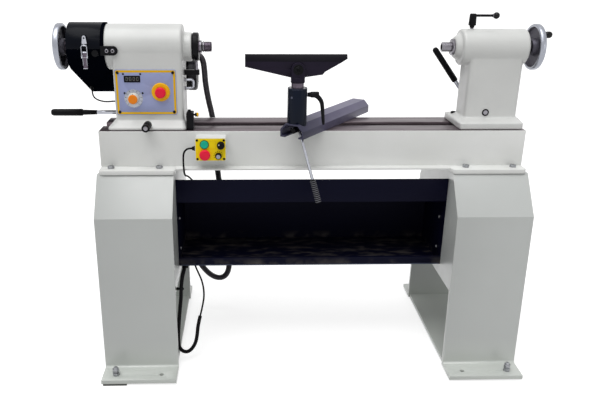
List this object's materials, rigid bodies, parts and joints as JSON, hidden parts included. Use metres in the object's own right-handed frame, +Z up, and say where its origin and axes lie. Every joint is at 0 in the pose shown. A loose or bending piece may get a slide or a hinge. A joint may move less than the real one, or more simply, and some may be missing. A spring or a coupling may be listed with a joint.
{
  "type": "wood lathe",
  "caption": "Floor-standing wood lathe: cast headstock with belt guard and control panel, slotted bed, sliding tool rest and tailstock, folded steel legs and a chip tray.",
  "frame": {"origin": "on the floor under the middle of the bed", "axes": "+X along the bed towards the tailstock, +Y away from the turner, +Z up"},
  "size_m": [1.631, 0.652, 1.1435],
  "materials": {
    "cream_paint": "gloss",
    "light_paint": "satin",
    "way_steel": "ground",
    "black_paint": "gloss",
    "tray_paint": "satin",
    "steel": "turned",
    "chrome": "polished",
    "zinc": "dull",
    "wheel_alloy": "turned",
    "black_steel": "blackened",
    "banjo_paint": "satin",
    "post_paint": "satin",
    "rest_iron": "painted",
    "panel_print": "satin",
    "dark_plastic": "matt",
    "orange_plastic": "gloss",
    "red_plastic": "gloss",
    "green_plastic": "gloss",
    "white_plastic": "gloss",
    "fitting_plastic": "matt",
    "belt_rubber": "matt",
    "cord_rubber": "matt",
    "motor_iron": "painted"
  },
  "bodies": {
    "frame": {"bed_beams": "cream_paint", "bed_ways": "way_steel", "bed_cross_ties": "cream_paint", "bed_mount_plates": "cream_paint", "leg_left": "light_paint", "leg_right": "light_paint", "frame_bolts": "zinc", "levelling_feet": "zinc", "chip_tray": "tray_paint", "headstock_casting": "cream_paint", "spindle_bearings": "steel", "drive_belt": "belt_rubber", "motor": "motor_iron", "belt_housing": "black_paint", "housing_fittings": "black_steel", "control_panel": "panel_print", "panel_fittings": "fitting_plastic", "headstock_clamp_plate": "zinc", "stop_block": "black_steel", "headstock_hardware": "chrome", "switch_box": "white_plastic", "cable_fittings": "dark_plastic", "switch_cable": "cord_rubber", "cable_sleeve": "cord_rubber", "motor_conduit": "cord_rubber", "interlock_cable": "cord_rubber"},
    "spindle_set": {"spindle": "steel", "spindle_pulley": "wheel_alloy", "index_ring": "black_steel", "outboard_handwheel": "wheel_alloy"},
    "motor_rotor": {"motor_pulley": "wheel_alloy"},
    "guard_cover": {"belt_cover": "black_paint"},
    "latch": {"latch_lever": "chrome"},
    "latch_ring": {"latch_bail": "chrome"},
    "emergency_button": {"estop_button": "red_plastic"},
    "speed_dial": {"speed_knob": "orange_plastic"},
    "index_pull": {"index_knob": "black_steel"},
    "headstock_lever": {"headstock_clamp_lever": "black_steel"},
    "start": {"start_button": "green_plastic"},
    "stop": {"stop_button": "red_plastic"},
    "mode": {"mode_knob": "dark_plastic"},
    "trim": {"trim_knob": "dark_plastic"},
    "banjo_clamp": {"banjo_clamp_plate": "zinc"},
    "banjo_pivot": {"banjo_bolt": "zinc"},
    "banjo": {"banjo_channel": "banjo_paint", "banjo_post": "post_paint"},
    "banjo_handle": {"banjo_lever": "chrome"},
    "post_handle": {"post_lever": "black_steel"},
    "rest_collar": {"rest_bush": "steel"},
    "tool_rest": {"rest_stem": "steel", "rest_blade": "rest_iron"},
    "tailstock": {"tailstock_casting": "cream_paint", "tailstock_fittings": "chrome", "tailstock_clamp_plate": "zinc"},
    "tail_wheel": {"feed_screw": "steel", "tail_handwheel": "wheel_alloy"},
    "tail_quill": {"quill": "steel"},
    "crank_handle": {"crank_knob": "dark_plastic"},
    "quill_handle": {"quill_lock": "black_steel"},
    "tailstock_lever": {"tailstock_clamp_lever": "black_steel"}
  },
  "joints": [
    {"name": "spindle_turn", "type": "hinge", "parent": "frame", "child": "spindle_set", "pos_m": [-0.6, 0, 1.036], "axis": [1, 0, 0], "continuous": true},
    {"name": "motor_turn", "type": "hinge", "parent": "frame", "child": "motor_rotor", "pos_m": [-0.7, 0.231, 0.913], "axis": [1, 0, 0], "continuous": true},
    {"name": "guard_cover_open", "type": "hinge", "parent": "frame", "child": "guard_cover", "pos_m": [-0.71, 0.14714, 1.0407], "axis": [-1, 0, 0], "range_deg": [0, 95]},
    {"name": "latch_open", "type": "hinge", "parent": "frame", "child": "latch", "pos_m": [-0.704, -0.083, 1.027], "axis": [-1, 0, 0], "range_deg": [0, 100]},
    {"name": "latch_ring_turn", "type": "hinge", "parent": "latch", "child": "latch_ring", "pos_m": [-0.704, -0.0892, 1.013], "axis": [-1, 0, 0], "range_deg": [-100, 0]},
    {"name": "emergency_press", "type": "slide", "parent": "frame", "child": "emergency_button", "axis": [0, 1, 0], "range_m": [0, 0.005], "stiffness_N_per_m": 600},
    {"name": "speed_turn", "type": "hinge", "parent": "frame", "child": "speed_dial", "pos_m": [-0.567, -0.08, 0.885], "axis": [0, 1, 0], "range_deg": [-135, 135]},
    {"name": "index_pull_out", "type": "slide", "parent": "frame", "child": "index_pull", "axis": [0, -1, 0], "range_m": [0, 0.012], "stiffness_N_per_m": 600},
    {"name": "headstock_lock", "type": "hinge", "parent": "frame", "child": "headstock_lever", "pos_m": [-0.6, 0, 0.802], "axis": [0, 1, 0], "range_deg": [-14, 12]},
    {"name": "start_press", "type": "slide", "parent": "frame", "child": "start", "axis": [0, 1, 0], "range_m": [0, 0.003], "stiffness_N_per_m": 500},
    {"name": "stop_press", "type": "slide", "parent": "frame", "child": "stop", "axis": [0, 1, 0], "range_m": [0, 0.004], "stiffness_N_per_m": 500},
    {"name": "mode_turn", "type": "hinge", "parent": "frame", "child": "mode", "pos_m": [-0.294, -0.15, 0.753], "axis": [0, 1, 0], "range_deg": [-60, 60]},
    {"name": "trim_turn", "type": "hinge", "parent": "frame", "child": "trim", "pos_m": [-0.302, -0.15, 0.719], "axis": [0, 1, 0], "range_deg": [-135, 135]},
    {"name": "banjo_along_bed", "type": "slide", "parent": "frame", "child": "banjo_clamp", "axis": [1, 0, 0], "range_m": [-0.215, 0.15]},
    {"name": "banjo_swing", "type": "hinge", "parent": "banjo_clamp", "child": "banjo_pivot", "pos_m": [0.0515, 0, 0.78], "axis": [0, 0, 1], "range_deg": [-10, 45]},
    {"name": "banjo_reach", "type": "slide", "parent": "banjo_pivot", "child": "banjo", "axis": [0.5592, 0.829, 0], "range_m": [-0.2, 0.02]},
    {"name": "banjo_lock", "type": "hinge", "parent": "banjo", "child": "banjo_handle", "pos_m": [-0.05279, -0.15462, 0.8073], "axis": [0.5592, 0.829, 0], "range_deg": [-20, 18]},
    {"name": "post_lock", "type": "hinge", "parent": "banjo", "child": "post_handle", "pos_m": [-0.03062, -0.16622, 0.9143], "axis": [1, 0, 0], "range_deg": [-60, 60]},
    {"name": "rest_swivel", "type": "hinge", "parent": "banjo", "child": "rest_collar", "pos_m": [-0.06062, -0.16622, 0.92], "axis": [0, 0, 1], "range_deg": [-60, 60]},
    {"name": "rest_height", "type": "slide", "parent": "rest_collar", "child": "tool_rest", "axis": [0, 0, 1], "range_m": [-0.012, 0.05]},
    {"name": "tailstock_along_bed", "type": "slide", "parent": "frame", "child": "tailstock", "axis": [1, 0, 0], "range_m": [-0.25, 0.005]},
    {"name": "tail_wheel_turn", "type": "hinge", "parent": "tailstock", "child": "tail_wheel", "pos_m": [0.7, 0, 1.036], "axis": [-1, 0, 0], "range_deg": [-1800, 5400]},
    {"name": "quill_travel", "type": "slide", "parent": "tailstock", "child": "tail_quill", "axis": [-1, 0, 0], "range_m": [-0.0251, 0.0751]},
    {"name": "crank_turn", "type": "hinge", "parent": "tail_wheel", "child": "crank_handle", "pos_m": [0.725, -0.03471, 1.07737], "axis": [1, 0, 0], "continuous": true},
    {"name": "quill_lock_turn", "type": "hinge", "parent": "tailstock", "child": "quill_handle", "pos_m": [0.502, 0, 1.1], "axis": [0, 0, 1], "range_deg": [-45, 45]},
    {"name": "tailstock_lock", "type": "hinge", "parent": "tailstock", "child": "tailstock_lever", "pos_m": [0.56, 0, 0.834], "axis": [0, 1, 0], "range_deg": [-30, 60]}
  ],
  "couplings": [
    {"joint": "motor_turn", "follows": "spindle_turn", "ratio": 1.625},
    {"joint": "latch_ring_turn", "follows": "latch_open", "ratio": -1},
    {"joint": "quill_travel", "follows": "tail_wheel_turn", "m_per_rad": 0.00079577}
  ]
}
